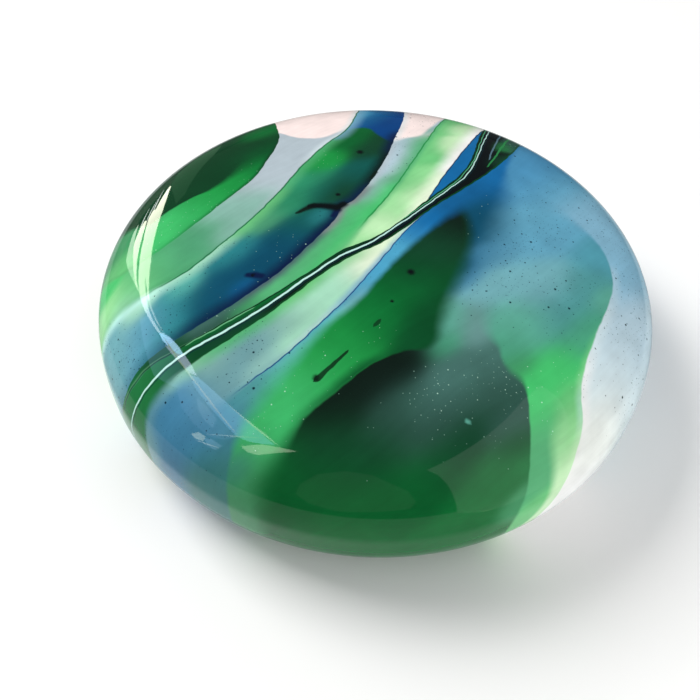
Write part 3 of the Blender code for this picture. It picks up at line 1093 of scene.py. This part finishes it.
# %% Lay the floor
FLOOR_HALF = 3.0
FLOOR_PAINT = "#fafafa"
FLOOR_ROUGHNESS = 0.8
FLOOR_IN_GLOSS = [("#e4e9ea", 0.0), ("#a0a8a8", 0.105), ("#2c3032", 0.190)]
FLOOR_STEP_BLUR = 0.03


def floor_material():
    """A matt white sheet, evenly painted."""
    material, tree = new_material("pale_sheet")
    place = add(tree, "TexCoord").outputs["Object"]
    reach = add(tree, "VectorMath", LENGTH, in0=place)
    gloss = linear(FLOOR_IN_GLOSS[0][0])
    for hex_colour, edge in FLOOR_IN_GLOSS[1:]:
        past = add(tree, "MapRange", Value=reach, in1=edge * (1 - FLOOR_STEP_BLUR),
                   in2=edge * (1 + FLOOR_STEP_BLUR))
        gloss = add(tree, "Mix", RGBA, in0=past, in6=gloss, in7=linear(hex_colour))
    ray = add(tree, "LightPath").outputs["Is Glossy Ray"]
    colour = add(tree, "Mix", RGBA, in0=ray, in6=linear(FLOOR_PAINT), in7=gloss)
    shader = add(tree, "BsdfPrincipled", Base_Color=colour, Roughness=FLOOR_ROUGHNESS)
    add(tree, "OutputMaterial", Surface=shader)
    return material


def set_up(name, shape, material):
    """Turn a mesh in the making into a thing that stands round the cake."""
    data = bpy.data.meshes.new(name)
    shape.to_mesh(data)
    shape.free()
    data.materials.append(material)
    thing = bpy.data.objects.new(name, data)
    bpy.context.scene.collection.objects.link(thing)
    return thing


sheet = bmesh.new()
bmesh.ops.create_grid(sheet, x_segments=1, y_segments=1, size=FLOOR_HALF)
floor = set_up("floor", sheet, floor_material())
print("the floor is", 2 * FLOOR_HALF, "m wide")

# %% [markdown]
# ## What the glaze mirrors
# A mirror glaze shows the room. Here the room is a few pale cards that only gloss rays see, hung
# on a great ball round the cake. Each was drawn where its mirror image lies in the picture, and
# the law of reflection says where it hangs: a line of sight meets the cake, turns about the
# surface's normal there and goes on to the ball.

# %% Send lines of sight on from the glaze
CARD_DISTANCE = 0.8
CARD_GAP = 0.005
POINTED = 0.1
line_slope = np.gradient(whole_line, axis=0)


def mirrored(across, down, nearer):
    """The place that the glaze mirrors at a pixel of the picture: on the ball, or just over the
    floor where that is closer. The place comes nearer by the share given."""
    place = seen_place(across, down)
    reach = math.hypot(place.x, place.y)
    turn = turn_of(reach, place.z)
    outward = -np.interp(turn, line_turn, line_slope[:, 1])
    upright = np.interp(turn, line_turn, line_slope[:, 0])
    normal = Vector((outward * place.x / reach, outward * place.y / reach, upright)).normalized()
    sight = (place - camera_place).normalized()
    way = sight - 2 * sight.dot(normal) * normal
    along = place.dot(way)
    reach = -along + math.sqrt(along ** 2 + CARD_DISTANCE ** 2 - place.length_squared)
    if way.z < 0:
        reach = min(reach, -place.z / way.z)
    return place + way * reach * (1 - nearer)


def stroke(line, width):
    """The outline of a thin stroke along a line, in pixels, pointed at both ends."""
    line = np.array(line, dtype=float)
    way = np.gradient(line, axis=0)
    side = np.column_stack([way[:, 1], -way[:, 0]]) / np.hypot(*way.T)[:, None]
    side[[0, -1]] *= POINTED
    outline = np.vstack([line + 0.5 * width * side, (line - 0.5 * width * side)[::-1]])
    return [tuple(point) for point in outline]


print("the middle of the picture mirrors",
      [round(value, 2) for value in mirrored(*OUTLINE_MIDDLE, 0)])

# %% [markdown]
# The brightest reflections are the tall blades and the pane of one window, broken up by its
# frame. The fainter ones are a second window and the walls. A card hangs a little nearer than
# the one listed after it, so a bright card stands before a faint one.

# %% Hang the cards
def card_material(name, hex_colour, strength):
    """White card with a lamp on it: an even glow, which only the glaze sees."""
    material, tree = new_material(name)
    glow = add(tree, "Emission", Color=linear(hex_colour), Strength=strength)
    add(tree, "OutputMaterial", Surface=glow)
    return material


CARDS = {
    "blades": ("#f6fae0", 9.0, [
        [(172, 184), (167, 198), (163, 210), (158, 225), (154, 240), (151, 262), (149, 280),
         (149.5, 300), (147.5, 300), (146.8, 280), (148.3, 262), (149.8, 240), (152.4, 225),
         (157, 212), (163, 199)],
        [(156, 209), (153.5, 215), (150.6, 228), (148.8, 240), (147, 262), (145, 280), (146.5, 297),
         (140, 297), (138.5, 280), (139.5, 262), (143.5, 240), (146, 228), (149, 218), (153, 211)],
        [(147, 221), (144.6, 229), (141.5, 240), (137, 262), (136.5, 278), (139, 293), (135, 283),
         (131, 271), (130, 262), (135.5, 240), (140, 229), (145, 221)],
    ]),
    "faint_blade": ("#f0fae8", 3.5, [
        [(139, 224), (136, 234), (132.5, 246), (129.5, 262), (132, 272), (136, 286), (129, 272),
         (126, 262), (129.5, 245), (134, 232)],
    ]),
    "throat": ("#eef8ff", 8.0, [
        [(139.5, 295), (147, 297), (148, 306), (152, 318), (160, 331), (164, 334.5), (158, 332.5),
         (150.5, 321), (144, 309)],
    ]),
    "threads": ("#f2f8f4", 6.0, [
        stroke([(148, 297), (151, 308), (156, 320), (165, 335)], 1.3),
        stroke([(163, 336), (170, 347), (184, 367), (197, 384), (210, 401), (224, 419),
                (238, 435)], 1.4),
        stroke([(228, 404), (250, 423), (264, 434), (279, 446)], 1.8),
        stroke([(205, 434), (230, 436), (262, 438)], 0.9),
        stroke([(196, 440), (207, 444), (219, 448)], 1.2),
        *(stroke(line, 0.8) for line in (
            [(164, 190), (156, 205), (150, 222)], [(158, 199), (150, 214), (144, 228)],
            [(169, 187), (163, 198), (158, 210)], [(150, 208), (142, 224), (137, 240)],
        )),
        stroke([(338, 503), (344, 500), (350, 501)], 0.9),
        stroke([(357, 503), (366, 503), (373, 506)], 0.9),
    ]),
    "lens": ("#f0fae0", 5.0, [
        [(241, 446), (262, 444.5), (278, 447), (297, 451.5), (275, 453), (258, 455), (247, 452)],
        [(191, 434), (199, 432), (206, 437), (203, 441), (196, 439)],
    ]),
    "scraps": ("#b8dcff", 2.6, [
        [(204, 438), (212, 439), (222, 446), (215, 450), (208, 446)],
        [(197, 398), (206, 406), (217, 419), (213, 428), (204, 420), (198, 409)],
    ]),
    "neck": ("#b0dcff", 16.0, [
        [(158, 331), (163, 333), (171, 338), (179, 347), (184, 355), (178, 354), (170, 348),
         (163, 341)],
    ]),
    "bend": ("#d4dcff", 8.5, [
        [(165, 345), (172, 349), (184, 354), (191, 364), (197, 376), (190, 373), (181, 364),
         (172, 354)],
    ]),
    "pane": ("#9cd0ff", 5.0, [
        [(189, 375), (198, 377), (212, 389), (227, 403), (250, 423), (275, 445), (262, 444),
         (247, 441), (236, 436), (222, 421), (208, 405), (197, 391)],
    ]),
    "veil": ("#a4d0ff", 1.8, [
        [(140, 318), (148, 316), (156, 331), (165, 345), (175, 357), (186, 372), (197, 388),
         (188, 390), (172, 386), (154, 376), (144, 345)],
        [(186, 380), (197, 392), (209, 407), (218, 418), (206, 412), (195, 400)],
    ]),
    "thin_veil": ("#b4d4ff", 1.1, [
        [(176, 384), (188, 384), (197, 392), (209, 407), (223, 423), (236, 437), (224, 440),
         (208, 436), (194, 424), (182, 408)],
    ]),
    "window_foot": ("#ccffc8", 1.9, [
        [(472, 498), (488, 490), (502, 482), (516, 470), (522, 476), (520, 492), (510, 500),
         (494, 509), (482, 512), (474, 507)],
    ]),
    "window": ("#e8f4ec", 0.8, [
        [(427, 470), (452, 458), (485, 437), (505, 420), (523, 400), (540, 385), (560, 400),
         (566, 440), (560, 465), (545, 485), (525, 496), (505, 506), (480, 512), (457, 513),
         (454, 498), (447, 484), (438, 475)],
    ]),
    "far_wall": ("#b8ecc4", 0.28, [
        [(170, 187), (178, 174), (192, 162), (208, 152), (222, 145), (214, 155), (203, 166),
         (194, 178), (185, 194), (176, 204)],
    ]),
    "near_wall": ("#d8ecdc", 0.3, [
        [(300, 484), (318, 474), (345, 471), (372, 475), (392, 484), (408, 491), (416, 502),
         (410, 509), (375, 512), (335, 511), (308, 503), (296, 494)],
    ]),
}
for rank, (name, (hex_colour, strength, shapes)) in enumerate(CARDS.items()):
    card_form = bmesh.new()
    for shape in shapes:
        card_form.faces.new([card_form.verts.new((*pixel, 0)) for pixel in shape])
    bmesh.ops.triangulate(card_form, faces=card_form.faces[:])
    for vertex in card_form.verts:
        vertex.co = mirrored(vertex.co.x, vertex.co.y, CARD_GAP * (len(CARDS) - rank))
    card = set_up(name, card_form, card_material(name, hex_colour, strength))
    card.visible_camera = card.visible_diffuse = card.visible_shadow = False
    card.visible_transmission = False
    print(name, "hangs", [round(value, 2) for value in card.data.vertices[0].co])

# %% [markdown]
# ## The light
# Daylight from a wide window high on the left makes a soft shadow to the near right. One area
# light stands in for it, and a low one for the light that the room gives back. Gloss rays don't
# see them, since the cards are what the glaze mirrors. The world fills the shadows, and it too
# is dark for gloss rays.

# %% Set the lights
LIT_PLACE = Vector((0, 0, 0.02))
LIGHTS = [
    ("window", (-0.95, 0.6, 1.1), 0.8, 22.0, (1.0, 0.99, 0.97)),
    ("bounce", (0.8, -0.35, 0.11), 0.4, 5.0, (1.0, 1.0, 1.0)),
]
WORLD_FILL = 0.60
WORLD_IN_GLOSS = 0.06
for name, place, size, power, colour in LIGHTS:
    light = bpy.data.lights.new(name, "AREA")
    light.size, light.energy, light.color = size, power, colour
    lamp = bpy.data.objects.new(name, light)
    aim = (LIT_PLACE - Vector(place)).to_track_quat("-Z", "Y")
    lamp.matrix_world = Matrix.Translation(place) @ aim.to_matrix().to_4x4()
    lamp.visible_glossy = False
    bpy.context.scene.collection.objects.link(lamp)

world = bpy.data.worlds.new("studio")
world.use_nodes = True
bpy.context.scene.world = world
tree = world.node_tree
tree.nodes.clear()
ray = add(tree, "LightPath").outputs["Is Glossy Ray"]
fill = add(tree, "Background", Strength=WORLD_FILL)
seen = add(tree, "Background", Strength=WORLD_IN_GLOSS)
both = add(tree, "MixShader", in0=ray, in1=fill, in2=seen)
add(tree, "OutputWorld", Surface=both)
print(len(LIGHTS), "lights and a world of strength", WORLD_FILL)
